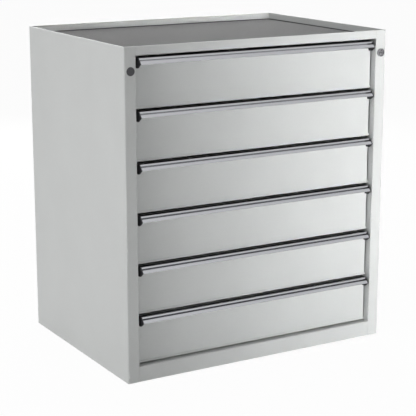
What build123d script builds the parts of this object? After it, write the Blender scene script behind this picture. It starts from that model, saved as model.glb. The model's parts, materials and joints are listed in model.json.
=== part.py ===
from build123d import *
from math import cos, radians, sin
import os

# Drawer cabinet of folded sheet steel: equal drawers on telescopic slides, a tray top with
# a mat, and one lock whose bar holds every drawer.
# Lengths are in millimetres. The cabinet stands on Z = 0 with its front facing -Y.
# X = 0 is its middle, and Y = 0 is the middle of its depth, from handle noses to rivet heads.
# A depth is measured backwards from the front face of the stiles.

# Carcass
case_width = 900.0
case_depth = 656.0
sheet = 1.5
corner_radius = 4.0
fold_radius = 2.5
stile_width = 37.0
stile_return = 32.0
rear_flange = 25.0
top_rail_height = 26.0
top_rail_return = 25.0
rail_seam = 0.4
plinth_height = 46.0
plinth_setback = 1.0
plinth_depth = 40.0
base_flange = 30.0
anchor_hole = 11.0
anchor_inset = 90.0
post_width = 40.0
post_inset = 30.0
mat_thickness = 2.0
mat_margin = 3.5
mat_corner = 6.0
rivet_rows = 7
rivet_end_margin = 55.0
rivet_shank = 4.8
rivet_head = 9.0
rivet_head_height = 1.4
rivet_head_round = 1.0
rivet_collar = 6.4
rivet_collar_height = 2.5
rivet_clearance = 0.1

# Drawers
drawer_count = 6
drawer_pitch = 150.0
stack_gap = 4.0
top_gap = 2.0
front_recess = 22.0
front_fold = 12.0
front_gap = 7.0
front_side_gap = 4.0
front_sheet = 1.5
front_edge_round = 1.0
hem_height = 6.0
hem_proud = 0.8
hem_overhang = 2.5
hem_groove = 0.8
hem_groove_depth = 0.8
tray_sheet = 1.2
tray_lift = 5.0
tray_head_gap = 24.0
tray_length = 596.0

# Handle, measured forwards from the drawer front and down from the top of the handle
handle_rise = 1.0
handle_end_gap = 8.5
handle_wall = 2.0
handle_round = 0.5
lip_reach = 18.0
lip_lean = 0.5
lip_height = 5.0
groove_reach = 8.0
groove_height = 3.0
band_reach = 24.0
nose_reach = 31.0
nose_drop = 15.0
nose_face = 1.2
plate_height = 22.0
cap_thickness = 3.0
cap_height = 28.5
cap_chin = 15.0
cap_chin_round = 12.0
cap_round = 1.0

# Slides
slide_sheet = 1.5
slide_start = 45.0
slide_length = 575.0
slide_height = 45.0
slide_level = 48.0
slide_side_clear = 1.0
slide_run = 0.4
slide_round = 2.0
fixed_rail_width = 14.0
fixed_web_gap = 5.0
middle_width = 8.0
drawer_rail_width = 15.0
drawer_rail_gap = 2.0

# Lock and blanking plug
lock_inset = 20.0
lock_drop = 68.5
lock_head = 25.0
lock_head_height = 5.5
lock_head_round = 1.0
lock_face_recess = 3.0
lock_face_rim = 2.5
lock_barrel = 19.0
lock_barrel_length = 26.0
lock_hole_clearance = 0.2
lock_nut_width = 26.0
lock_nut_height = 6.0
lock_nut_sides = 6
lock_nut_turn = 30.0
lock_plug = 13.0
lock_plug_clearance = 0.05
lock_plug_length = 30.0
grip_length = 18.5
grip_width = 6.0
grip_inset = 0.5
grip_clearance = 0.2
grip_round = 0.8
grip_angle = 50.0
key_slot_length = 8.0
key_slot_width = 2.0
key_slot_depth = 7.0
cam_thickness = 3.0
cam_hub = 15.0
cam_arm_end = 9.0
crank_radius = 8.5
crank_angle = 45.0
crank_pin = 5.0
crank_pin_length = 8.0
bar_gap = 3.0
bar_thickness = 3.0
bar_side_gap = 1.0
bar_outer_margin = 2.0
pin_slot_clearance = 0.4
finger_height = 10.0
finger_drop = 22.0
finger_grip = 8.0
finger_gap = 0.05
catch_drop = 38.0
catch_height = 12.0
catch_gap = 1.0
catch_thickness = 3.0
catch_foot = 20.0
catch_side_clear = 4.0
guide_height = 30.0
guide_wall = 3.0
guide_grip = 4.0
guide_clearance = 0.3
guide_level_shares = (0.3, 0.75)
plug_head = 25.0
plug_head_height = 2.0
plug_head_round = 1.5
plug_dimple = 8.0
plug_dimple_depth = 0.6
plug_stem_length = 8.0

overrun = 5.0

# Places that follow from the sizes above
half_width = case_width / 2
wall_inner = half_width - sheet
opening_half = half_width - stile_width
nose_overhang = nose_reach - front_recess
case_front = (nose_overhang - case_depth - rivet_head_height) / 2
case_back = case_front + case_depth
stack_low = plinth_height + stack_gap
top_rail_low = stack_low + drawer_count * drawer_pitch + top_gap
case_height = top_rail_low + top_rail_height
tray_floor_low = top_rail_low + sheet
rear_panel_front = case_back - 2 * sheet
base_start = plinth_setback + plinth_depth
middle_outer = opening_half - slide_side_clear
fixed_outer = middle_outer + fixed_web_gap + slide_sheet
drawer_rail_outer = middle_outer - slide_sheet - drawer_rail_gap
tray_half = drawer_rail_outer - drawer_rail_width
middle_height = slide_height - 2 * (slide_sheet + slide_run)
drawer_rail_height = middle_height - 2 * (slide_sheet + slide_run)
front_half = opening_half - front_side_gap
front_height = drawer_pitch - front_gap
handle_top = front_height + handle_rise
tray_start = front_recess + front_sheet
tray_height = drawer_pitch - tray_lift - tray_head_gap
handle_half = opening_half - handle_end_gap - cap_thickness
lock_x = half_width - lock_inset
lock_z = case_height - lock_drop
cam_start = lock_plug_length
bar_start = cam_start + cam_thickness + bar_gap
bar_end = bar_start + bar_thickness
bar_inner = opening_half + sheet + bar_side_gap
bar_outer = lock_x + bar_outer_margin
crank_rise = crank_radius * sin(radians(crank_angle))
crank_run = crank_radius * cos(radians(crank_angle))
finger_level = drawer_pitch - finger_drop
catch_level = drawer_pitch - catch_drop
catch_outer = opening_half - catch_side_clear
catch_start = bar_end + catch_gap
rivet_x = half_width - rear_flange / 2
rivet_step = (case_height - 2 * rivet_end_margin) / (rivet_rows - 1)
rivet_heights = [rivet_end_margin + row * rivet_step for row in range(rivet_rows)]
rivet_hole = rivet_shank + 2 * rivet_clearance


def at_depth(depth):
    """The Y of a depth behind the front face of the stiles."""
    return case_front + depth


def drawer_low(number):
    """The bottom of a drawer's space, where drawer 1 is the top one."""
    return stack_low + (drawer_count - number) * drawer_pitch


def block(x_ends, y_ends, z_ends, mode=Mode.ADD):
    """A plain block between the two ends given for each axis."""
    middle = tuple(sum(ends) / 2 for ends in (x_ends, y_ends, z_ends))
    size = [abs(ends[1] - ends[0]) for ends in (x_ends, y_ends, z_ends)]
    with Locations(middle):
        Box(*size, mode=mode)


def folded_sheet(plane, points, radii, thickness, side, length):
    """A folded sheet of one section, whose outer face follows the points on the plane."""
    with BuildSketch(plane) as section:
        with BuildLine():
            FilletPolyline(*points, radius=radii)
            offset(amount=thickness, side=side)
        make_face()
    extrude(section.sketch, amount=length)


def outlined_bar(plane, points, radii, length):
    """A bar of one closed outline with rounded corners."""
    with BuildSketch(plane) as section:
        with BuildLine():
            FilletPolyline(*points, radius=radii, close=True)
        make_face()
    extrude(section.sketch, amount=length)


def open_pan(pan, x_ends, y_ends, z_ends, thickness):
    """Make the piece a sheet pan that is open at its top."""
    block(x_ends, y_ends, z_ends)
    offset(amount=-thickness, openings=pan.faces().sort_by(Axis.Z)[-1])


def folded_pan(pan, x_ends, y_ends, z_ends):
    """Make the piece an open sheet pan with rounded corners and folds."""
    block(x_ends, y_ends, z_ends)
    fillet(pan.edges().filter_by(Axis.Z), corner_radius)
    fillet(pan.faces().sort_by(Axis.Z)[0].edges(), fold_radius)
    offset(amount=-sheet, openings=pan.faces().sort_by(Axis.Z)[-1])


def round_holes(places, diameter, y_level):
    """Round holes along Y through the sheet at one Y level, at the given X and Z."""
    with BuildSketch(Plane.XZ.offset(-y_level)) as holes:
        with Locations(*places):
            Circle(diameter / 2)
    extrude(holes.sketch, amount=overrun, both=True, mode=Mode.SUBTRACT)


def keep(piece, label):
    """Name a finished piece and write its file."""
    piece.part.label = label
    export_step(piece.part, f"parts/{label}.step")


os.makedirs("parts", exist_ok=True)


# Side panels: wall, stile, stile return and rear flange in one folded sheet
def side_panel(hand, label):
    inner_side = Side.LEFT if hand > 0 else Side.RIGHT
    outline = [
        (hand * opening_half, at_depth(stile_return)),
        (hand * opening_half, case_front),
        (hand * half_width, case_front),
        (hand * half_width, case_back),
        (hand * (half_width - rear_flange), case_back),
    ]
    with BuildPart() as panel:
        radii = [fold_radius, corner_radius, corner_radius]
        folded_sheet(Plane.XY, outline, radii, sheet, inner_side, case_height)
        # the stile return stops under the tray top
        block(
            (hand * (opening_half - overrun), hand * (opening_half + fold_radius)),
            (at_depth(sheet), at_depth(stile_return + overrun)),
            (top_rail_low, case_height + overrun),
            mode=Mode.SUBTRACT,
        )
        # beside the top rail the stile's edge isn't folded, so its sheet stays flat
        block(
            (hand * opening_half, hand * (opening_half + fold_radius)),
            (case_front, at_depth(sheet)),
            (top_rail_low, case_height),
        )
        round_holes([(hand * lock_x, lock_z)], lock_barrel + 2 * lock_hole_clearance, case_front)
        round_holes([(hand * rivet_x, z) for z in rivet_heights], rivet_hole, case_back)
    keep(panel, label)


side_panel(-1, "left_side_panel")
side_panel(1, "right_side_panel")

# Rear panel inside the rear flanges
with BuildPart() as rear_panel:
    rear_half = half_width - corner_radius
    block((-rear_half, rear_half), (rear_panel_front, case_back - sheet), (0, case_height))
    rivet_places = [(hand * rivet_x, z) for hand in (-1, 1) for z in rivet_heights]
    round_holes(rivet_places, rivet_hole, case_back - sheet)
keep(rear_panel, "rear_panel")

# Blind rivets: a domed head outside, a shank, and the drawn collar inside
with BuildPart() as rear_rivets:
    for hand in (-1, 1):
        for z in rivet_heights:
            with BuildSketch(Plane.XZ.offset(-case_back)):
                with Locations((hand * rivet_x, z)):
                    Circle(rivet_head / 2)
            extrude(amount=-rivet_head_height)
            with BuildSketch(Plane.XZ.offset(-case_back)):
                with Locations((hand * rivet_x, z)):
                    Circle(rivet_shank / 2)
            extrude(amount=2 * sheet)
            with BuildSketch(Plane.XZ.offset(-rear_panel_front)):
                with Locations((hand * rivet_x, z)):
                    Circle(rivet_collar / 2)
            extrude(amount=rivet_collar_height)
    fillet(rear_rivets.edges().group_by(Axis.Y)[-1], rivet_head_round)
keep(rear_rivets, "rear_rivets")

# Top rail, flush with the stiles, with a return under the tray top
with BuildPart() as top_rail:
    rail_half = opening_half - rail_seam
    outline = [
        (case_front, case_height),
        (case_front, top_rail_low),
        (at_depth(top_rail_return), top_rail_low),
    ]
    folded_sheet(Plane.YZ.offset(-rail_half), outline, fold_radius, sheet, Side.LEFT, 2 * rail_half)
keep(top_rail, "top_rail")

# Tray top: a pan whose flanges line the inside of the rim
with BuildPart() as top_panel:
    folded_pan(
        top_panel,
        (-wall_inner, wall_inner),
        (at_depth(sheet), rear_panel_front),
        (tray_floor_low, case_height),
    )
keep(top_panel, "top_panel")

# Mat on the tray floor, a little smaller than the tray
with BuildPart() as top_mat:
    mat_low = tray_floor_low + sheet
    block(
        (-(wall_inner - sheet - mat_margin), wall_inner - sheet - mat_margin),
        (at_depth(2 * sheet + mat_margin), rear_panel_front - sheet - mat_margin),
        (mat_low, mat_low + mat_thickness),
    )
    fillet(top_mat.edges().filter_by(Axis.Z), mat_corner)
keep(top_mat, "top_mat")

# Plinth rail: an upside-down channel between the stile returns
with BuildPart() as plinth_rail:
    outline = [
        (at_depth(plinth_setback), 0),
        (at_depth(plinth_setback), plinth_height),
        (at_depth(base_start), plinth_height),
        (at_depth(base_start), 0),
    ]
    folded_sheet(Plane.YZ.offset(-opening_half), outline, fold_radius, sheet, Side.RIGHT, 2 * opening_half)
keep(plinth_rail, "plinth_rail")

# Base panel: a shallow pan on the floor, with holes for floor anchors
with BuildPart() as base_panel:
    base_ends = (at_depth(base_start), rear_panel_front)
    folded_pan(base_panel, (-wall_inner, wall_inner), base_ends, (0, base_flange))
    with BuildSketch(Plane.XY):
        with Locations((0, sum(base_ends) / 2)):
            with GridLocations(
                2 * (wall_inner - anchor_inset), base_ends[1] - base_ends[0] - 2 * anchor_inset, 2, 2
            ):
                Circle(anchor_hole / 2)
    extrude(amount=overrun, both=True, mode=Mode.SUBTRACT)
keep(base_panel, "base_panel")

# Posts: channels from the base to the tray top that carry the slides
with BuildPart() as slide_posts:
    post_outer = wall_inner - fold_radius
    front_post = slide_start + post_inset
    rear_post = slide_start + slide_length - post_inset - post_width
    for hand in (-1, 1):
        for post_start in (front_post, rear_post):
            outline = [
                (hand * post_outer, at_depth(post_start)),
                (hand * fixed_outer, at_depth(post_start)),
                (hand * fixed_outer, at_depth(post_start + post_width)),
                (hand * post_outer, at_depth(post_start + post_width)),
            ]
            inner_side = Side.RIGHT if hand > 0 else Side.LEFT
            post_height = tray_floor_low - sheet
            folded_sheet(Plane.XY.offset(sheet), outline, fold_radius, sheet, inner_side, post_height)
keep(slide_posts, "slide_posts")


# Slides: three channels nested in each other, and each one runs in the next
def channel(web_x, tip_x, height, level, length):
    """A channel along Y that opens from its web towards its tips."""
    outline = [
        (tip_x, level + height / 2),
        (web_x, level + height / 2),
        (web_x, level - height / 2),
        (tip_x, level - height / 2),
    ]
    inner_side = Side.LEFT if tip_x > web_x else Side.RIGHT
    plane = Plane.XZ.offset(-at_depth(slide_start))
    folded_sheet(plane, outline, slide_round, slide_sheet, inner_side, -length)


def slide_level_of(number):
    return drawer_low(number) + slide_level


with BuildPart() as fixed_rails:
    for number in range(1, drawer_count + 1):
        for hand in (-1, 1):
            channel(
                hand * fixed_outer,
                hand * (fixed_outer - fixed_rail_width),
                slide_height,
                slide_level_of(number),
                slide_length,
            )
keep(fixed_rails, "fixed_rails")


def middle_members(number):
    with BuildPart() as members:
        for hand in (-1, 1):
            channel(
                hand * middle_outer,
                hand * (middle_outer - middle_width),
                middle_height,
                slide_level_of(number),
                slide_length,
            )
    keep(members, f"slide_{number}_middle")


def drawer_rails(number):
    with BuildPart() as rails:
        for hand in (-1, 1):
            channel(
                hand * tray_half,
                hand * drawer_rail_outer,
                drawer_rail_height,
                slide_level_of(number),
                slide_length,
            )
    keep(rails, f"drawer_{number}_rails")


# Drawer tray: an open box of thin sheet against the back of the front
def drawer_tray(number):
    tray_low = drawer_low(number) + tray_lift
    with BuildPart() as tray:
        open_pan(
            tray,
            (-tray_half, tray_half),
            (at_depth(tray_start), at_depth(tray_start + tray_length)),
            (tray_low, tray_low + tray_height),
            tray_sheet,
        )
    keep(tray, f"drawer_{number}_tray")


# Drawer front: a folded panel with a proud hem along its bottom edge, under a fine groove
def drawer_front(number):
    low = drawer_low(number)
    with BuildPart() as front:
        block(
            (-front_half, front_half),
            (at_depth(front_recess), at_depth(front_recess + front_fold)),
            (low, low + front_height),
        )
        face_edges = front.faces().sort_by(Axis.Y)[0].edges()
        fillet(face_edges.filter_by(Axis.Z), front_edge_round)
        offset(amount=-front_sheet, openings=front.faces().sort_by(Axis.Y)[-1])
        block(
            (-(front_half + hem_overhang), front_half + hem_overhang),
            (at_depth(front_recess - hem_proud), at_depth(front_recess + front_sheet)),
            (low, low + hem_height),
        )
        block(
            (-(front_half + overrun), front_half + overrun),
            (at_depth(front_recess - overrun), at_depth(front_recess + hem_groove_depth)),
            (low + hem_height, low + hem_height + hem_groove),
            mode=Mode.SUBTRACT,
        )
    keep(front, f"drawer_{number}_front")


# Handle: an aluminium section with a lip, a groove and a nose that fingers reach behind
def handle_section():
    """The handle's outline as distances forwards from the front and down from the top."""
    groove_floor = lip_height + groove_height
    return [
        (0, 0),
        (lip_reach, 0),
        (lip_reach + lip_lean, lip_height),
        (groove_reach, lip_height),
        (groove_reach, groove_floor),
        (band_reach, groove_floor),
        (nose_reach, nose_drop),
        (nose_reach, nose_drop + nose_face),
        (nose_reach - handle_wall, nose_drop + nose_face),
        (band_reach - handle_wall, groove_floor + handle_wall),
        (groove_reach - handle_wall, groove_floor + handle_wall),
        (groove_reach - handle_wall, handle_wall),
        (handle_wall, handle_wall),
        (handle_wall, plate_height),
        (0, plate_height),
    ]


def on_drawer(number, outline):
    """Turn distances from the front and the top of the handle into Y and Z."""
    top = drawer_low(number) + handle_top
    return [(at_depth(front_recess - reach), top - drop) for reach, drop in outline]


def drawer_handle(number):
    with BuildPart() as handle:
        outline = on_drawer(number, handle_section())
        outlined_bar(Plane.YZ.offset(-handle_half), outline, handle_round, 2 * handle_half)
    keep(handle, f"drawer_{number}_handle")


def handle_caps(number):
    outline = [
        (0, 0),
        (lip_reach, 0),
        (nose_reach, nose_drop),
        (nose_reach, nose_drop + nose_face),
        (nose_reach - cap_chin, cap_height),
        (0, cap_height),
    ]
    radii = [cap_round, cap_round, cap_round, cap_round, cap_chin_round, cap_round]
    with BuildPart() as caps:
        for start in (-handle_half - cap_thickness, handle_half):
            outlined_bar(Plane.YZ.offset(start), on_drawer(number, outline), radii, cap_thickness)
    keep(caps, f"drawer_{number}_caps")


# Catch: an angle on the tray's right wall that a finger of the lock bar blocks
def drawer_catch(number):
    low = drawer_low(number) + catch_level
    with BuildPart() as catch:
        block(
            (tray_half, catch_outer),
            (at_depth(catch_start), at_depth(catch_start + catch_thickness)),
            (low, low + catch_height),
        )
        block(
            (tray_half, tray_half + catch_thickness),
            (at_depth(catch_start), at_depth(catch_start + catch_foot)),
            (low, low + catch_height),
        )
    keep(catch, f"drawer_{number}_catch")


for number in range(1, drawer_count + 1):
    drawer_tray(number)
    drawer_front(number)
    drawer_handle(number)
    handle_caps(number)
    drawer_rails(number)
    drawer_catch(number)
    middle_members(number)


# Lock and blanking plug: round pieces along Y on the stiles
def disc(x, depth, diameter, length, mode=Mode.ADD):
    """A round of one diameter, from a depth backwards, at the height of the lock."""
    with BuildSketch(Plane.XZ.offset(-at_depth(depth))) as section:
        with Locations((x, lock_z)):
            Circle(diameter / 2)
    extrude(section.sketch, amount=-length, mode=mode)


with BuildPart() as lock_body:
    disc(lock_x, -lock_head_height, lock_head, lock_head_height)
    fillet(lock_body.edges().sort_by(Axis.Y)[0], lock_head_round)
    disc(lock_x, 0, lock_barrel, lock_barrel_length)
    disc(lock_x, -lock_head_height, lock_head - 2 * lock_face_rim, lock_face_recess, mode=Mode.SUBTRACT)
    disc(
        lock_x,
        -lock_head_height,
        lock_plug + 2 * lock_plug_clearance,
        lock_head_height + lock_barrel_length,
        mode=Mode.SUBTRACT,
    )
keep(lock_body, "lock_body")

with BuildPart() as lock_nut:
    with BuildSketch(Plane.XZ.offset(-at_depth(sheet))):
        with Locations((lock_x, lock_z)):
            RegularPolygon(lock_nut_width / 2, lock_nut_sides, major_radius=False, rotation=lock_nut_turn)
            Circle(lock_barrel / 2 + lock_hole_clearance, mode=Mode.SUBTRACT)
    extrude(amount=-lock_nut_height)
keep(lock_nut, "lock_nut")

# the plug has a grip that turns in the recess of the lock's head, just clear of its floor and its rim
with BuildPart() as lock_plug_piece:
    plug_front = lock_face_recess - lock_head_height - grip_clearance
    grip_front = grip_inset - lock_head_height
    grip_plane = Plane.XZ.offset(-at_depth(grip_front))
    disc(lock_x, plug_front, lock_plug, lock_plug_length - plug_front)
    with BuildSketch(grip_plane):
        with Locations((lock_x, lock_z)):
            SlotOverall(grip_length, grip_width, rotation=grip_angle)
    extrude(amount=grip_front - plug_front)
    fillet(lock_plug_piece.faces().sort_by(Axis.Y)[0].edges(), grip_round)
    with BuildSketch(grip_plane):
        with Locations((lock_x, lock_z)):
            Rectangle(key_slot_length, key_slot_width, rotation=grip_angle)
    extrude(amount=-key_slot_depth, mode=Mode.SUBTRACT)
keep(lock_plug_piece, "lock_plug")

# the crank pin stands at the upper inner end of its quarter turn, which is the unlocked end
with BuildPart() as lock_cam:
    with BuildSketch(Plane.XZ.offset(-at_depth(cam_start))):
        with Locations((lock_x, lock_z)):
            Circle(cam_hub / 2)
        with Locations((lock_x - crank_run, lock_z + crank_rise)):
            Circle(cam_arm_end / 2)
        make_hull()
    extrude(amount=-cam_thickness)
    with BuildSketch(Plane.XZ.offset(-at_depth(cam_start + cam_thickness))):
        with Locations((lock_x - crank_run, lock_z + crank_rise)):
            Circle(crank_pin / 2)
    extrude(amount=-crank_pin_length)
keep(lock_cam, "lock_cam")

# Lock bar: a flat bar with a finger for each drawer set on its inner edge
with BuildPart() as lock_bar:
    bar_low = drawer_low(drawer_count) + finger_level
    bar_high = drawer_low(1) + finger_level + finger_height
    block((bar_inner, bar_outer), (at_depth(bar_start), at_depth(bar_end)), (bar_low, bar_high))
    for number in range(1, drawer_count + 1):
        finger_low = drawer_low(number) + finger_level
        block(
            (catch_outer - finger_grip, bar_inner - finger_gap),
            (at_depth(bar_start), at_depth(bar_end)),
            (finger_low, finger_low + finger_height),
        )
    # the slot lets the pin swing sideways while it takes the bar up and down
    slot_half = crank_pin / 2 + pin_slot_clearance
    block(
        (lock_x - crank_radius - slot_half, lock_x - crank_run + slot_half),
        (at_depth(bar_start - overrun), at_depth(bar_end + overrun)),
        (lock_z + crank_rise - slot_half, lock_z + crank_rise + slot_half),
        mode=Mode.SUBTRACT,
    )
keep(lock_bar, "lock_bar")

# Guides on the right wall, each with a groove for the bar's outer edge
with BuildPart() as bar_guides:
    for share in guide_level_shares:
        guide_low = share * case_height
        block(
            (bar_outer - guide_grip, wall_inner),
            (at_depth(bar_start - guide_wall), at_depth(bar_end + guide_wall)),
            (guide_low, guide_low + guide_height),
        )
        block(
            (bar_outer - guide_grip - overrun, bar_outer + guide_clearance),
            (at_depth(bar_start - guide_clearance), at_depth(bar_end + guide_clearance)),
            (guide_low - overrun, guide_low + guide_height + overrun),
            mode=Mode.SUBTRACT,
        )
keep(bar_guides, "bar_guides")

with BuildPart() as blanking_plug:
    disc(-lock_x, -plug_head_height, plug_head, plug_head_height)
    fillet(blanking_plug.edges().sort_by(Axis.Y)[0], plug_head_round)
    disc(-lock_x, -plug_head_height, plug_dimple, plug_dimple_depth, mode=Mode.SUBTRACT)
    disc(-lock_x, 0, lock_barrel, plug_stem_length)
keep(blanking_plug, "blanking_plug")
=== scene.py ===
import json
from math import cos, pi, radians, sin

import bmesh
import bpy
from bpy.props import FloatProperty, FloatVectorProperty, IntProperty, PointerProperty
from bpy.types import Operator, Panel, PropertyGroup
from mathutils import Matrix, Vector

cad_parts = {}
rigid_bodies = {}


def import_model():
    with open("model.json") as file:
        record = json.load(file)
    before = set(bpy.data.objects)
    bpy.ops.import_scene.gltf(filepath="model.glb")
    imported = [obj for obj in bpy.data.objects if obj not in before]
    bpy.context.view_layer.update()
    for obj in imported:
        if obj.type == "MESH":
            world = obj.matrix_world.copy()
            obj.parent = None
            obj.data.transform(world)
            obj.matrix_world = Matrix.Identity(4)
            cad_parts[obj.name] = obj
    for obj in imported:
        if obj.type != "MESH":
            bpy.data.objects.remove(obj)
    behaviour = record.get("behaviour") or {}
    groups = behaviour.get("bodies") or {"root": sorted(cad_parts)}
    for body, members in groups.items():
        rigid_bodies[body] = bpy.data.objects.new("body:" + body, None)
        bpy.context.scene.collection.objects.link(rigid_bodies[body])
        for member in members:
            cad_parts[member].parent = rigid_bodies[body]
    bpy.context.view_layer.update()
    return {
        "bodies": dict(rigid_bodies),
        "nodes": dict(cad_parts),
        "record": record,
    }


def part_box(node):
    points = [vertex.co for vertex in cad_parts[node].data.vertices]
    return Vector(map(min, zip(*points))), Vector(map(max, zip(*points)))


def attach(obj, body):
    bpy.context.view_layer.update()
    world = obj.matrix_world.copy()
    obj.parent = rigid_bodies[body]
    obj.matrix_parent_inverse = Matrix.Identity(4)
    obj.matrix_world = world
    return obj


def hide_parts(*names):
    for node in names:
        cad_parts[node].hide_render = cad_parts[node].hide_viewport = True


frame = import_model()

bl_info = {
    "name": "Drawer cabinet",
    "version": (1, 0, 0),
    "blender": (4, 5, 0),
    "location": "3D View > Sidebar > Cabinet",
    "description": "Finishes, small fittings and a studio stage for a steel drawer cabinet",
    "category": "Object",
}

NODES = frame["nodes"]
COLOUR_OF_SLOT = {entry["slot"]: entry["base_color"] for entry in frame["record"]["materials"]}
NODES_OF_SLOT = {
    slot: [part["node"] for part in frame["record"]["subparts"] if part["material_slot"] == slot]
    for slot in COLOUR_OF_SLOT
}
DRAWERS = sorted(body for body in frame["bodies"] if body.startswith("drawer_"))


# Sizes and colours that a user would change

def length(name, description, default):
    """A length in metres, shown in the scene's own unit."""
    return FloatProperty(
        name=name, description=description, default=default, min=0.0, precision=5,
        subtype="DISTANCE", unit="LENGTH",
    )


def angle(name, description, default):
    """An angle in radians, shown in the scene's own unit."""
    return FloatProperty(name=name, description=description, default=default, subtype="ANGLE")


def count(name, description, default):
    """A number of like parts in a row, which has one at each end."""
    return IntProperty(name=name, description=description, default=default, min=2)


def colour(name, description, default):
    """A colour of a finish."""
    return FloatVectorProperty(
        name=name, description=description, default=default, size=3, min=0.0, max=1.0,
        subtype="COLOR",
    )


def share(name, description, default):
    """A number from nothing to all."""
    return FloatProperty(
        name=name, description=description, default=default, min=0.0, max=1.0, subtype="FACTOR"
    )


class CabinetFinishes(PropertyGroup):
    """Colours and surface of the cabinet's materials"""

    paint: colour("Paint", "Light grey powder coat", COLOUR_OF_SLOT["grey_paint"])
    paint_roughness: share("Paint roughness", "Mean roughness of the powder coat", 0.42)
    peel_size: length(
        "Peel size", "Width of the fine waves that the powder coat dries with", 0.0018
    )
    peel_depth: length("Peel depth", "Height of those waves", 0.00004)
    aluminium: colour(
        "Aluminium", "Anodised handle section", COLOUR_OF_SLOT["handle_aluminium"]
    )
    aluminium_roughness: share("Aluminium roughness", "Mean roughness of the handles", 0.12)
    draw_line: length(
        "Draw line", "Width of the fine lines that the die leaves along a handle", 0.0006
    )
    black_plastic: colour(
        "Black plastic", "End caps, guides and bead", COLOUR_OF_SLOT["black_plastic"]
    )
    plug_plastic: colour("Plug plastic", "Blanking plug", COLOUR_OF_SLOT["plug_plastic"])
    plastic_grain: length("Plastic grain", "Size of the moulded grain", 0.0007)
    zinc: colour("Zinc", "Plated slides, posts and lock bar", COLOUR_OF_SLOT["zinc_steel"])
    nickel: colour("Nickel", "Plated lock", COLOUR_OF_SLOT["lock_chrome"])
    rivet: colour("Rivets", "Bare blind rivets", COLOUR_OF_SLOT["rivet_metal"])
    rubber: colour("Rubber", "Ribbed mat in the tray top", COLOUR_OF_SLOT["mat_rubber"])


class CabinetFittings(PropertyGroup):
    """Sizes of the small parts that are added to the construction"""

    rib_pitch: length("Rib pitch", "Step from one rib of the mat to the next", 0.003)
    rib_width: length("Rib width", "Width of a rib at its foot", 0.0021)
    rib_height: length("Rib height", "Height of a rib", 0.0005)
    mat_border: length("Mat border", "Plain strip along the edges of the mat", 0.004)
    mat_corner: length("Mat corner", "Radius of the corners of the mat", 0.006)
    mat_gap: length("Mat gap", "What the mat gives way at each edge, for the bead", 0.001)
    bead_radius: length(
        "Bead radius", "Half the thickness of the round bead along the edges of the mat", 0.0021
    )
    bead_offset: length(
        "Bead offset", "From the edge of the mat's space out to the middle of the bead", 0.0013
    )
    rivet_head: length("Rivet head", "Diameter of a rivet's head", 0.009)
    rivet_shank: length("Rivet shank", "Diameter of a rivet's shank", 0.0048)
    rivet_collar: length("Rivet collar", "Diameter of the collar drawn on the inside", 0.0064)
    rivet_dome: length("Rivet dome", "Height of a rivet's head", 0.0014)
    mandrel: length("Mandrel", "Diameter of the pit that the mandrel leaves", 0.0026)
    rivets_per_side: count("Rivets per side", "Rivets in each upright row", 7)
    screw_head: length("Screw head", "Diameter of the screws that hold the slides", 0.008)
    screw_height: length("Screw height", "Height of a screw's head", 0.0022)
    screws_per_rail: count("Screws per rail", "Screws along one slide", 4)
    tray_sheet: length("Tray sheet", "Thickness of the drawer trays", 0.0012)


class CabinetStage(PropertyGroup):
    """Floor, light and camera"""

    floor: colour("Floor", "Pale floor and background", (0.9, 0.9, 0.9))
    floor_glow: share(
        "Floor glow", "Share of plain white in what the camera sees of the floor", 0.965
    )
    sky: share("Sky", "Strength of the even light from all around", 0.11)
    lamp_level: FloatProperty(
        name="Lamp level", description="Factor on the power of all lamps", default=1.0, min=0.0
    )
    azimuth: angle("Azimuth", "Turn of the camera from the front", radians(-30.45))
    elevation: angle("Elevation", "Camera angle above the level", radians(13.57))
    distance: length("Distance", "From the camera to what it aims at", 4.25)
    lens: FloatProperty(
        name="Lens", description="Focal length in millimetres on a 36 mm sensor",
        default=115.45, min=1.0, subtype="DISTANCE_CAMERA",
    )
    aim: FloatVectorProperty(
        name="Aim", description="Point in the middle of the view",
        default=(-0.004, -0.02, 0.4085), subtype="TRANSLATION",
    )


# Materials

# Most of a random pattern lies between these two values
PATTERN_LOW, PATTERN_HIGH = 0.3, 0.7


def link(tree, *pairs):
    """Join pairs of sockets in a node tree, each from an output to an input."""
    for source, target in pairs:
        tree.links.new(source, target)


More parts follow.
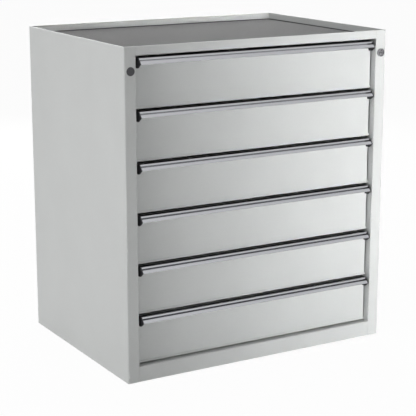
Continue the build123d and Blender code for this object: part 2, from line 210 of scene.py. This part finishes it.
class Finish:
    """A material in the making: a shader and the small patterns that feed it."""

    def __init__(self, name, metallic=0.0):
        self.material = bpy.data.materials.new(name)
        self.material.use_nodes = True
        self.tree = self.material.node_tree
        self.shader = self.tree.nodes["Principled BSDF"]
        self.shader.inputs["Metallic"].default_value = metallic

    def node(self, kind, **sockets):
        """A new node with the values of its unlinked sockets, named with _ for a space."""
        made = self.tree.nodes.new(kind)
        for name, value in sockets.items():
            made.inputs[name.replace("_", " ")].default_value = value
        return made

    def grain(self, size, stretch=(1.0, 1.0, 1.0), detail=2.0):
        """A soft random pattern of a size in metres.

        A stretch over 1 draws it out along that axis.
        """
        place = self.node("ShaderNodeTexCoord")
        mapping = self.node("ShaderNodeMapping", Scale=[1.0 / factor for factor in stretch])
        noise = self.node("ShaderNodeTexNoise", Scale=1.0 / size, Detail=detail)
        link(
            self.tree,
            (place.outputs["Object"], mapping.inputs["Vector"]),
            (mapping.outputs["Vector"], noise.inputs["Vector"]),
        )
        return noise.outputs["Fac"]

    def blend(self, first, second, factor):
        """The mean of two patterns, weighted towards the second by a factor."""
        mix = self.node("ShaderNodeMix", Factor=factor)
        link(self.tree, (first, mix.inputs["A"]), (second, mix.inputs["B"]))
        return mix.outputs["Result"]

    def tint(self, pattern, base, spread):
        """Vary the colour about its base by a spread, from the pattern's low to its high."""
        ramp = self.node("ShaderNodeValToRGB")
        low, high = ramp.color_ramp.elements
        low.position, high.position = PATTERN_LOW, PATTERN_HIGH
        low.color = [*(channel * (1.0 - spread) for channel in base), 1.0]
        high.color = [*(min(1.0, channel * (1.0 + spread)) for channel in base), 1.0]
        link(
            self.tree,
            (pattern, ramp.inputs["Fac"]),
            (ramp.outputs["Color"], self.shader.inputs["Base Color"]),
        )

    def polish(self, pattern, mean, spread):
        """Vary the roughness about its mean by a spread."""
        span = self.node(
            "ShaderNodeMapRange",
            From_Min=PATTERN_LOW,
            From_Max=PATTERN_HIGH,
            To_Min=mean * (1.0 - spread),
            To_Max=mean * (1.0 + spread),
        )
        link(
            self.tree,
            (pattern, span.inputs["Value"]),
            (span.outputs["Result"], self.shader.inputs["Roughness"]),
        )

    def emboss(self, pattern, depth):
        """Raise the surface by up to a depth in metres."""
        bump = self.node("ShaderNodeBump", Strength=1.0, Distance=depth)
        link(
            self.tree,
            (pattern, bump.inputs["Height"]),
            (bump.outputs["Normal"], self.shader.inputs["Normal"]),
        )


def powder_coat(name, look):
    """Satin powder coat with faint clouds and a fine peel."""
    finish = Finish(name)
    clouds = finish.grain(size=0.16, detail=3.0)
    specks = finish.grain(size=0.0022, detail=1.0)
    peel = finish.grain(size=look.peel_size, detail=1.0)
    finish.tint(finish.blend(clouds, specks, factor=0.4), look.paint, spread=0.035)
    finish.polish(finish.blend(clouds, peel, factor=0.5), look.paint_roughness, spread=0.12)
    finish.emboss(peel, look.peel_depth)
    return finish.material


def anodised_section(name, look):
    """Satin anodised aluminium with the fine lines of the die along the section."""
    finish = Finish(name, metallic=1.0)
    lines = finish.grain(size=look.draw_line, stretch=(400.0, 1.0, 1.0))
    clouds = finish.grain(size=0.05, stretch=(6.0, 1.0, 1.0))
    finish.tint(finish.blend(lines, clouds, factor=0.5), look.aluminium, spread=0.05)
    finish.polish(lines, look.aluminium_roughness, spread=0.25)
    finish.emboss(lines, depth=0.0000015)
    return finish.material


def moulded_plastic(name, base, grain_size):
    """Moulded plastic with a fine eroded grain."""
    finish = Finish(name)
    grain = finish.grain(grain_size, detail=3.0)
    finish.tint(grain, base, spread=0.15)
    finish.polish(grain, mean=0.5, spread=0.15)
    finish.emboss(grain, depth=0.00003)
    return finish.material


def zinc_plate(name, look):
    """Zinc-plated rolled strip with faint spangles and rolling lines."""
    finish = Finish(name, metallic=1.0)
    rolling = finish.grain(size=0.0012, stretch=(1.0, 120.0, 1.0))
    spangle = finish.grain(size=0.014, detail=4.0)
    finish.tint(finish.blend(rolling, spangle, factor=0.6), look.zinc, spread=0.12)
    finish.polish(finish.blend(rolling, spangle, factor=0.4), mean=0.36, spread=0.25)
    finish.emboss(rolling, depth=0.000008)
    return finish.material


def plated_lock(name, look):
    """Satin nickel plate with a faint haze."""
    finish = Finish(name, metallic=1.0)
    haze = finish.grain(size=0.004, detail=3.0)
    brush = finish.grain(size=0.0003, stretch=(12.0, 1.0, 1.0))
    finish.tint(haze, look.nickel, spread=0.08)
    finish.polish(finish.blend(haze, brush, factor=0.5), mean=0.24, spread=0.3)
    finish.emboss(brush, depth=0.000004)
    return finish.material


def bare_rivet(name, look):
    """Dull bare aluminium of blind rivets."""
    finish = Finish(name, metallic=1.0)
    dull = finish.grain(size=0.0016, detail=3.0)
    finish.tint(dull, look.rivet, spread=0.1)
    finish.polish(dull, mean=0.42, spread=0.2)
    finish.emboss(dull, depth=0.000012)
    return finish.material


def mat_rubber(name, look):
    """Matt grey rubber with a dusty bloom."""
    finish = Finish(name)
    bloom = finish.grain(size=0.09, detail=4.0)
    grain = finish.grain(size=0.0006)
    finish.tint(finish.blend(bloom, grain, factor=0.35), look.rubber, spread=0.07)
    finish.polish(bloom, mean=0.8, spread=0.08)
    finish.emboss(grain, depth=0.00002)
    return finish.material


def dress(slot, material):
    """Give every node of a material slot its finish."""
    for name in NODES_OF_SLOT[slot]:
        slots = NODES[name].data.materials
        slots.clear()
        slots.append(material)


# Meshes

# The angle past which an edge is sharp, and what a full round and a corner are divided into
CREASE = radians(35.0)
TURNED_SIDES = 24
CORNER_STEPS = 6

# Sections of the turned heads from the middle out, as shares of a radius and of a height
RIVET_PIT = ((0.0, 0.55), (0.8, 0.55), (1.0, 1.0))
RIVET_DOME = ((0.6, 0.94), (0.8, 0.72), (0.95, 0.36), (1.0, 0.0))
SCREW_SOCKET = ((0.0, 0.4), (0.32, 0.4), (0.36, 0.98))
SCREW_DOME = ((0.6, 0.92), (0.86, 0.62), (1.0, 0.2), (1.0, 0.0), (0.0, 0.0))

# The top of a rib against its foot, and the end of a rivet's collar against its start
RIB_CROWN = 0.6
RIVET_COLLAR_END = 0.9


def new_piece(name, mesh=None):
    """An object at the origin, whose place is in its mesh, which is empty where none is given."""
    piece = bpy.data.objects.new(name, mesh or bpy.data.meshes.new(name))
    bpy.context.scene.collection.objects.link(piece)
    return piece


def finished_mesh(name, shape):
    """A mesh from a finished shape, smooth up to the crease angle."""
    bmesh.ops.recalc_face_normals(shape, faces=shape.faces)
    mesh = bpy.data.meshes.new(name)
    shape.to_mesh(mesh)
    shape.free()
    mesh.shade_smooth()
    mesh.set_sharp_from_angle(angle=CREASE)
    return mesh


def section_points(shares, radius, height):
    """The (radius, height) points of a section that is given in shares."""
    return [(across * radius, up * height) for across, up in shares]


def turned_mesh(name, section, axis_turn):
    """A turned part: (radius, height) points revolved about an upright axis, then laid over."""
    shape = bmesh.new()
    rings = []
    for radius, height in section:
        sides = TURNED_SIDES if radius else 1
        headings = [2.0 * pi * side / sides for side in range(sides)]
        points = [(radius * cos(heading), radius * sin(heading), height) for heading in headings]
        rings.append([shape.verts.new(point) for point in points])
    for ring, after in zip(rings, rings[1:]):
        for side in range(TURNED_SIDES):
            around = (side + 1) % TURNED_SIDES
            corners = [ring[side % len(ring)], ring[around % len(ring)]]
            corners += [after[around % len(after)], after[side % len(after)]]
            shape.faces.new(list(dict.fromkeys(corners)))
    bmesh.ops.transform(shape, matrix=axis_turn, verts=shape.verts)
    return finished_mesh(name, shape)


def prism_mesh(name, outline, low, high):
    """An upright plate between two heights, whose outline is a list of (x, y) points."""
    shape = bmesh.new()
    feet = [shape.verts.new((x, y, low)) for x, y in outline]
    tops = [shape.verts.new((x, y, high)) for x, y in outline]
    shape.faces.new(feet)
    shape.faces.new(tops)
    for index in range(len(outline)):
        after = (index + 1) % len(outline)
        shape.faces.new((feet[index], feet[after], tops[after], tops[index]))
    return finished_mesh(name, shape)


def rounded_outline(low, high, radius):
    """The (x, y) points round a rectangle with rounded corners."""
    left, right = low.x + radius, high.x - radius
    front, back = low.y + radius, high.y - radius
    points = []
    for quarter, (x, y) in enumerate(((right, back), (left, back), (left, front), (right, front))):
        for step in range(CORNER_STEPS + 1):
            heading = 0.5 * pi * (quarter + step / CORNER_STEPS)
            points.append((x + radius * cos(heading), y + radius * sin(heading)))
    return points


def rib_mesh(name, half_length, width, height):
    """A rib along x with sloping flanks, open at its foot."""
    foot = 0.5 * width
    crown = RIB_CROWN * foot
    section = ((-foot, 0.0), (-crown, height), (crown, height), (foot, 0.0))
    shape = bmesh.new()
    left, right = (
        [shape.verts.new((x, y, z)) for y, z in section] for x in (-half_length, half_length)
    )
    for index in range(len(section) - 1):
        shape.faces.new((left[index], left[index + 1], right[index + 1], right[index]))
    shape.faces.new(left)
    shape.faces.new(right)
    return finished_mesh(name, shape)


# Node trees for what repeats or follows a path

def new_tree(name, inputs):
    """A geometry tree with its named inputs, and a function that makes its nodes."""
    tree = bpy.data.node_groups.new(name, "GeometryNodeTree")
    tree.interface.new_socket(name="Geometry", in_out="INPUT", socket_type="NodeSocketGeometry")
    for title, kind in inputs:
        tree.interface.new_socket(name=title, in_out="INPUT", socket_type=kind)
    tree.interface.new_socket(name="Geometry", in_out="OUTPUT", socket_type="NodeSocketGeometry")

    def node(kind, **settings):
        made = tree.nodes.new(kind)
        for title, value in settings.items():
            setattr(made, title, value)
        return made

    return tree, node


def run_tree(host, tree, values):
    """Run a tree on the host object, and make the result the host's own plain mesh."""
    modifier = host.modifiers.new(tree.name, "NODES")
    modifier.node_group = tree
    for socket in tree.interface.items_tree:
        if socket.name in values:
            modifier[socket.identifier] = values[socket.name]
    seen = host.evaluated_get(bpy.context.evaluated_depsgraph_get())
    mesh = bpy.data.meshes.new_from_object(seen)
    host.modifiers.remove(modifier)
    host.data = mesh
    return host


ROW_INPUTS = (
    ("Part", "NodeSocketObject"),
    ("Columns", "NodeSocketInt"),
    ("Rows", "NodeSocketInt"),
    ("Width", "NodeSocketFloat"),
    ("Length", "NodeSocketFloat"),
    ("Tilt", "NodeSocketVector"),
    ("Place", "NodeSocketVector"),
    ("Left turn", "NodeSocketFloat"),
    ("Finish", "NodeSocketMaterial"),
)


def row_tree():
    """The node tree that repeats a part on a grid, which is tilted and put in its place.

    Parts on the left half are turned about the upright axis by the left turn.
    The object's own mesh stays with them.
    """
    name = "rows_of_parts"
    if name in bpy.data.node_groups:
        return bpy.data.node_groups[name]
    tree, node = new_tree(name, ROW_INPUTS)
    given = node("NodeGroupInput")
    grid = node("GeometryNodeMeshGrid")
    tilted = node("GeometryNodeTransform")
    placed = node("GeometryNodeTransform")
    part = node("GeometryNodeObjectInfo")
    position = node("GeometryNodeInputPosition")
    sideways = node("ShaderNodeSeparateXYZ")
    on_left = node("ShaderNodeMath", operation="LESS_THAN")
    on_left.inputs[1].default_value = 0.0
    turn = node("ShaderNodeMath", operation="MULTIPLY")
    upright = node("ShaderNodeCombineXYZ")
    copies = node("GeometryNodeInstanceOnPoints")
    joined = node("GeometryNodeJoinGeometry")
    real = node("GeometryNodeRealizeInstances")
    coated = node("GeometryNodeSetMaterial")
    result = node("NodeGroupOutput")
    link(
        tree,
        (given.outputs["Columns"], grid.inputs["Vertices X"]),
        (given.outputs["Rows"], grid.inputs["Vertices Y"]),
        (given.outputs["Width"], grid.inputs["Size X"]),
        (given.outputs["Length"], grid.inputs["Size Y"]),
        (grid.outputs["Mesh"], tilted.inputs["Geometry"]),
        (given.outputs["Tilt"], tilted.inputs["Rotation"]),
        (tilted.outputs["Geometry"], placed.inputs["Geometry"]),
        (given.outputs["Place"], placed.inputs["Translation"]),
        (placed.outputs["Geometry"], copies.inputs["Points"]),
        (given.outputs["Part"], part.inputs["Object"]),
        (part.outputs["Geometry"], copies.inputs["Instance"]),
        (position.outputs["Position"], sideways.inputs["Vector"]),
        (sideways.outputs["X"], on_left.inputs[0]),
        (on_left.outputs["Value"], turn.inputs[0]),
        (given.outputs["Left turn"], turn.inputs[1]),
        (turn.outputs["Value"], upright.inputs["Z"]),
        (upright.outputs["Vector"], copies.inputs["Rotation"]),
        (copies.outputs["Instances"], joined.inputs["Geometry"]),
        (given.outputs["Geometry"], joined.inputs["Geometry"]),
        (joined.outputs["Geometry"], real.inputs["Geometry"]),
        (real.outputs["Geometry"], coated.inputs["Geometry"]),
        (given.outputs["Finish"], coated.inputs["Material"]),
        (coated.outputs["Geometry"], result.inputs["Geometry"]),
    )
    return tree


def rows_of(host, part_mesh, material, columns=1, rows=1, width=0.0, run=0.0,
            tilt=(0.0, 0.0, 0.0), place=(0.0, 0.0, 0.0), left_turn=0.0):
    """Set rows of a part on the host object, in columns across a width and rows along a run."""
    part = new_piece(part_mesh.name, part_mesh)
    values = {
        "Part": part,
        "Columns": columns,
        "Rows": rows,
        "Width": width,
        "Length": run,
        "Tilt": tilt,
        "Place": place,
        "Left turn": left_turn,
        "Finish": material,
    }
    run_tree(host, row_tree(), values)
    bpy.data.objects.remove(part)
    return host


BEAD_SIDES = 12
BEAD_CORNER_POINTS = 8
BEAD_INPUTS = (
    ("Width", "NodeSocketFloat"),
    ("Length", "NodeSocketFloat"),
    ("Corner", "NodeSocketFloat"),
    ("Radius", "NodeSocketFloat"),
    ("Place", "NodeSocketVector"),
    ("Finish", "NodeSocketMaterial"),
)


def bead_tree():
    """The node tree that runs a round bead along a rectangle with rounded corners."""
    tree, node = new_tree("bead_on_a_rectangle", BEAD_INPUTS)
    given = node("NodeGroupInput")
    edge = node("GeometryNodeCurvePrimitiveQuadrilateral", mode="RECTANGLE")
    path = node("GeometryNodeFilletCurve", mode="POLY")
    path.inputs["Count"].default_value = BEAD_CORNER_POINTS
    section = node("GeometryNodeCurvePrimitiveCircle", mode="RADIUS")
    section.inputs["Resolution"].default_value = BEAD_SIDES
    bead = node("GeometryNodeCurveToMesh")
    placed = node("GeometryNodeTransform")
    real = node("GeometryNodeRealizeInstances")
    coated = node("GeometryNodeSetMaterial")
    result = node("NodeGroupOutput")
    link(
        tree,
        (given.outputs["Width"], edge.inputs["Width"]),
        (given.outputs["Length"], edge.inputs["Height"]),
        (edge.outputs["Curve"], path.inputs["Curve"]),
        (given.outputs["Corner"], path.inputs["Radius"]),
        (given.outputs["Radius"], section.inputs["Radius"]),
        (path.outputs["Curve"], bead.inputs["Curve"]),
        (section.outputs["Curve"], bead.inputs["Profile Curve"]),
        (bead.outputs["Mesh"], placed.inputs["Geometry"]),
        (given.outputs["Place"], placed.inputs["Translation"]),
        (placed.outputs["Geometry"], real.inputs["Geometry"]),
        (real.outputs["Geometry"], coated.inputs["Geometry"]),
        (given.outputs["Finish"], coated.inputs["Material"]),
        (coated.outputs["Geometry"], result.inputs["Geometry"]),
    )
    return tree


# One operator for each piece or group of like pieces

class CABINET_OT_paint(Operator):
    """Powder-coat the folded sheets of the carcass and the drawers"""

    bl_idname = "cabinet.paint"
    bl_label = "Paint carcass and drawers"

    def execute(self, context):
        dress("grey_paint", powder_coat("powder_coat", context.scene.cabinet_finishes))
        return {"FINISHED"}


class CABINET_OT_handles(Operator):
    """Finish the aluminium handles and their plastic end caps"""

    bl_idname = "cabinet.handles"
    bl_label = "Handles and caps"

    def execute(self, context):
        look = context.scene.cabinet_finishes
        plastic = moulded_plastic("black_plastic", look.black_plastic, look.plastic_grain)
        dress("handle_aluminium", anodised_section("anodised_section", look))
        dress("black_plastic", plastic)
        return {"FINISHED"}


class CABINET_OT_slides(Operator):
    """Plate the slides, their posts and the lock bar"""

    bl_idname = "cabinet.slides"
    bl_label = "Slides"

    def execute(self, context):
        dress("zinc_steel", zinc_plate("zinc_plate", context.scene.cabinet_finishes))
        return {"FINISHED"}


class CABINET_OT_lock(Operator):
    """Finish the lock and the plug in the other stile"""

    bl_idname = "cabinet.lock"
    bl_label = "Lock and plug"

    def execute(self, context):
        look = context.scene.cabinet_finishes
        plastic = moulded_plastic("plug_plastic", look.plug_plastic, look.plastic_grain)
        dress("lock_chrome", plated_lock("plated_lock", look))
        dress("plug_plastic", plastic)
        return {"FINISHED"}


class CABINET_OT_mat(Operator):
    """Lay a finely ribbed rubber mat in the tray top"""

    bl_idname = "cabinet.mat"
    bl_label = "Ribbed mat"

    def execute(self, context):
        fit = context.scene.cabinet_fittings
        low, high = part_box("top_mat")
        gap = Vector((fit.mat_gap, fit.mat_gap, 0.0))
        low, high = low + gap, high - gap
        middle = 0.5 * (low + high)
        sheet_top = high.z - fit.rib_height
        outline = rounded_outline(low, high, fit.mat_corner)
        half_length = 0.5 * (high.x - low.x) - fit.mat_border
        room = high.y - low.y - 2.0 * fit.mat_border - fit.rib_width
        rows = int(room / fit.rib_pitch) + 1
        mat = rows_of(
            new_piece("ribbed_mat", prism_mesh("ribbed_mat", outline, low.z, sheet_top)),
            rib_mesh("mat_rib", half_length, fit.rib_width, fit.rib_height),
            mat_rubber("mat_rubber", context.scene.cabinet_finishes),
            rows=rows,
            run=(rows - 1) * fit.rib_pitch,
            place=(middle.x, middle.y, sheet_top),
        )
        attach(mat, "cabinet")
        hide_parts("top_mat")
        return {"FINISHED"}


class CABINET_OT_bead(Operator):
    """Run a round black bead between the mat and the rim of the tray top"""

    bl_idname = "cabinet.bead"
    bl_label = "Mat bead"

    def execute(self, context):
        fit = context.scene.cabinet_fittings
        low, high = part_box("top_mat")
        middle, size = 0.5 * (low + high), high - low
        values = {
            "Width": size.x + 2.0 * fit.bead_offset,
            "Length": size.y + 2.0 * fit.bead_offset,
            "Corner": fit.mat_corner + fit.bead_offset,
            "Radius": fit.bead_radius,
            "Place": (middle.x, middle.y, low.z + fit.bead_radius),
            "Finish": bpy.data.materials["black_plastic"],
        }
        bead = run_tree(new_piece("mat_bead"), bead_tree(), values)
        bead.data.shade_smooth()
        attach(bead, "cabinet")
        return {"FINISHED"}


class CABINET_OT_rivets(Operator):
    """Set domed blind rivets along both edges of the rear panel"""

    bl_idname = "cabinet.rivets"
    bl_label = "Rear rivets"

    def execute(self, context):
        fit = context.scene.cabinet_fittings
        low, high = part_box("rear_rivets")
        panel_low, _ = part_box("rear_panel")
        middle = 0.5 * (low + high)
        seat = high.y - fit.rivet_dome
        inner_end, collar_start = low.y - seat, panel_low.y - seat
        shank, collar = 0.5 * fit.rivet_shank, 0.5 * fit.rivet_collar
        section = (
            *section_points(RIVET_PIT, 0.5 * fit.mandrel, fit.rivet_dome),
            *section_points(RIVET_DOME, 0.5 * fit.rivet_head, fit.rivet_dome),
            (shank, 0.0),
            (shank, collar_start),
            (collar, collar_start),
            (RIVET_COLLAR_END * collar, inner_end),
            (0.0, inner_end),
        )
        rivets = rows_of(
            new_piece("blind_rivets"),
            turned_mesh("blind_rivet", section, Matrix.Rotation(-0.5 * pi, 4, "X")),
            bare_rivet("bare_rivet", context.scene.cabinet_finishes),
            columns=2,
            rows=fit.rivets_per_side,
            width=high.x - low.x - fit.rivet_head,
            run=high.z - low.z - fit.rivet_head,
            tilt=(0.5 * pi, 0.0, 0.0),
            place=(middle.x, seat, middle.z),
        )
        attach(rivets, "cabinet")
        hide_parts("rear_rivets")
        return {"FINISHED"}


class CABINET_OT_slide_screws(Operator):
    """Screw every drawer tray to its slides from the inside"""

    bl_idname = "cabinet.slide_screws"
    bl_label = "Slide screws"

    def execute(self, context):
        fit = context.scene.cabinet_fittings
        shares = SCREW_SOCKET + SCREW_DOME
        section = section_points(shares, 0.5 * fit.screw_head, fit.screw_height)
        for body in DRAWERS:
            tray_low, tray_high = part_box(f"{body}_tray")
            rail_low, rail_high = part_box(f"{body}_rails")
            middle = 0.5 * (rail_low + rail_high)
            screws = rows_of(
                new_piece(f"{body}_screws"),
                turned_mesh("slide_screw", section, Matrix.Rotation(-0.5 * pi, 4, "Y")),
                bpy.data.materials["zinc_plate"],
                columns=2,
                rows=fit.screws_per_rail,
                width=tray_high.x - tray_low.x - 2.0 * fit.tray_sheet,
                run=(rail_high.y - rail_low.y) * (1.0 - 1.0 / fit.screws_per_rail),
                place=(0.5 * (tray_low.x + tray_high.x), middle.y, middle.z),
                left_turn=pi,
            )
            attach(screws, body)
        return {"FINISHED"}


# Stage

WHITE = (1.0, 1.0, 1.0, 1.0)
SENSOR_WIDTH = 36.0

# The floor lies a little under the cabinet, so that their two faces are never at one height
FLOOR_REACH = 60.0
FLOOR_CORNER = 1.0
FLOOR_DROP = 0.0005
FLOOR_THICKNESS = 0.0005

# Soft boxes, in metres and watts. The front one is far off and narrow, so that its light
# fades from right to left across the fronts but stays even along a drawn-out drawer
LAMPS = (
    {
        "name": "front_box",
        "place": (0.9, -6.5, 0.95),
        "aim": (0.685, -0.3, 0.68),
        "size": (1.35, 2.4),
        "power": 12.9,
        "spread": radians(18.0),
    },
    {
        "name": "left_panel",
        "place": (-3.5, -0.75, 0.95),
        "aim": (0.0, -0.2, 0.5),
        "size": (1.2, 1.7),
        "power": 46.8,
    },
    {
        "name": "overhead",
        "place": (-0.2, 0.2, 3.4),
        "aim": (-0.2, 0.0, 0.9),
        "size": (2.8, 2.8),
        "power": 56.0,
    },
    {
        "name": "rear_panel_light",
        "place": (1.6, 3.4, 1.6),
        "aim": (0.0, 0.3, 0.5),
        "size": (2.4, 2.0),
        "power": 70.0,
        "mirrored": True,
    },
)


def white_for_the_camera(tree, lit, seen, factor):
    """Mix what lights the object with the plain white that camera, glossy and clear rays see."""
    path = tree.nodes.new("ShaderNodeLightPath")
    first = tree.nodes.new("ShaderNodeMath")
    second = tree.nodes.new("ShaderNodeMath")
    scaled = tree.nodes.new("ShaderNodeMath")
    mix = tree.nodes.new("ShaderNodeMixShader")
    first.operation = second.operation = "MAXIMUM"
    scaled.operation = "MULTIPLY"
    scaled.inputs[1].default_value = factor
    link(
        tree,
        (path.outputs["Is Camera Ray"], first.inputs[0]),
        (path.outputs["Is Glossy Ray"], first.inputs[1]),
        (first.outputs["Value"], second.inputs[0]),
        (path.outputs["Is Transmission Ray"], second.inputs[1]),
        (second.outputs["Value"], scaled.inputs[0]),
        (scaled.outputs["Value"], mix.inputs["Fac"]),
        (lit, mix.inputs[1]),
        (seen, mix.inputs[2]),
    )
    return mix.outputs["Shader"]


class CABINET_OT_stage(Operator):
    """Set the floor, the lamps and the camera"""

    bl_idname = "cabinet.stage"
    bl_label = "Stage"

    def execute(self, context):
        stage = context.scene.cabinet_stage
        self.floor(stage)
        self.sky(context.scene, stage)
        for lamp in LAMPS:
            self.lamp(context.scene, stage, **lamp)
        self.camera(context.scene, stage)
        context.scene.view_settings.view_transform = "Standard"
        return {"FINISHED"}

    def floor(self, stage):
        """A wide plate just under the cabinet, pale in the light and white to the camera."""
        corner = Vector((FLOOR_REACH, FLOOR_REACH))
        outline = rounded_outline(-corner, corner, FLOOR_CORNER)
        plate = prism_mesh("floor", outline, -FLOOR_DROP - FLOOR_THICKNESS, -FLOOR_DROP)
        floor = new_piece("floor", plate)
        material = bpy.data.materials.new("pale_floor")
        material.use_nodes = True
        tree = material.node_tree
        tree.nodes.clear()
        matt = tree.nodes.new("ShaderNodeBsdfDiffuse")
        matt.inputs["Color"].default_value = [*stage.floor, 1.0]
        glow = tree.nodes.new("ShaderNodeEmission")
        output = tree.nodes.new("ShaderNodeOutputMaterial")
        lit, seen = matt.outputs["BSDF"], glow.outputs["Emission"]
        shader = white_for_the_camera(tree, lit, seen, stage.floor_glow)
        link(tree, (shader, output.inputs["Surface"]))
        floor.data.materials.append(material)

    def sky(self, scene, stage):
        """An even soft light from all around, white to the camera."""
        scene.world = bpy.data.worlds.new("studio")
        scene.world.use_nodes = True
        tree = scene.world.node_tree
        tree.nodes.clear()
        soft = tree.nodes.new("ShaderNodeBackground")
        soft.inputs["Strength"].default_value = stage.sky
        white = tree.nodes.new("ShaderNodeBackground")
        for background in (soft, white):
            background.inputs["Color"].default_value = WHITE
        output = tree.nodes.new("ShaderNodeOutputWorld")
        lit, seen = soft.outputs["Background"], white.outputs["Background"]
        shader = white_for_the_camera(tree, lit, seen, factor=1.0)
        link(tree, (shader, output.inputs["Surface"]))

    def lamp(self, scene, stage, name, place, aim, size, power, spread=pi, mirrored=False):
        """A soft box, which shows in polished metal only where it is mirrored."""
        light = bpy.data.lights.new(name, "AREA")
        light.shape = "RECTANGLE"
        light.size, light.size_y = size
        light.energy = power * stage.lamp_level
        light.spread = spread
        lamp = bpy.data.objects.new(name, light)
        lamp.location = place
        lamp.rotation_euler = (Vector(aim) - Vector(place)).to_track_quat("-Z", "Y").to_euler()
        lamp.visible_glossy = mirrored
        scene.collection.objects.link(lamp)

    def camera(self, scene, stage):
        """The camera at its distance from the aim, turned and raised by its two angles."""
        turn, rise = stage.azimuth, stage.elevation
        back = Vector((sin(turn) * cos(rise), -cos(turn) * cos(rise), sin(rise)))
        camera = bpy.data.objects.new("camera", bpy.data.cameras.new("camera"))
        camera.data.sensor_width = SENSOR_WIDTH
        camera.data.lens = stage.lens
        camera.location = Vector(stage.aim) + back * stage.distance
        camera.rotation_euler = (-back).to_track_quat("-Z", "Y").to_euler()
        scene.collection.objects.link(camera)
        scene.camera = camera


# Panel and registration

SETTINGS = {
    "cabinet_finishes": CabinetFinishes,
    "cabinet_fittings": CabinetFittings,
    "cabinet_stage": CabinetStage,
}
OPERATORS = (
    CABINET_OT_paint,
    CABINET_OT_handles,
    CABINET_OT_slides,
    CABINET_OT_lock,
    CABINET_OT_mat,
    CABINET_OT_bead,
    CABINET_OT_rivets,
    CABINET_OT_slide_screws,
    CABINET_OT_stage,
)


class CABINET_PT_sidebar(Panel):
    """The steps and settings of the drawer cabinet"""

    bl_idname = "CABINET_PT_sidebar"
    bl_label = "Drawer cabinet"
    bl_space_type = "VIEW_3D"
    bl_region_type = "UI"
    bl_category = "Cabinet"

    def draw(self, context):
        for operator in OPERATORS:
            self.layout.operator(operator.bl_idname)
        for group, kind in SETTINGS.items():
            box = self.layout.box()
            for name in kind.__annotations__:
                box.prop(getattr(context.scene, group), name)


def register():
    """Make the settings, the operators and the panel known to Blender."""
    for kind in (*SETTINGS.values(), *OPERATORS, CABINET_PT_sidebar):
        bpy.utils.register_class(kind)
    for name, kind in SETTINGS.items():
        setattr(bpy.types.Scene, name, PointerProperty(type=kind))


def unregister():
    """Take away what register added, in the opposite order."""
    for name in SETTINGS:
        delattr(bpy.types.Scene, name)
    for kind in (CABINET_PT_sidebar, *reversed(OPERATORS), *reversed(SETTINGS.values())):
        bpy.utils.unregister_class(kind)


def main():
    """Dress the cabinet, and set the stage."""
    register()
    bpy.ops.cabinet.paint()
    bpy.ops.cabinet.handles()
    bpy.ops.cabinet.slides()
    bpy.ops.cabinet.lock()
    bpy.ops.cabinet.mat()
    bpy.ops.cabinet.bead()
    bpy.ops.cabinet.rivets()
    bpy.ops.cabinet.slide_screws()
    bpy.ops.cabinet.stage()


if __name__ == "__main__":
    main()
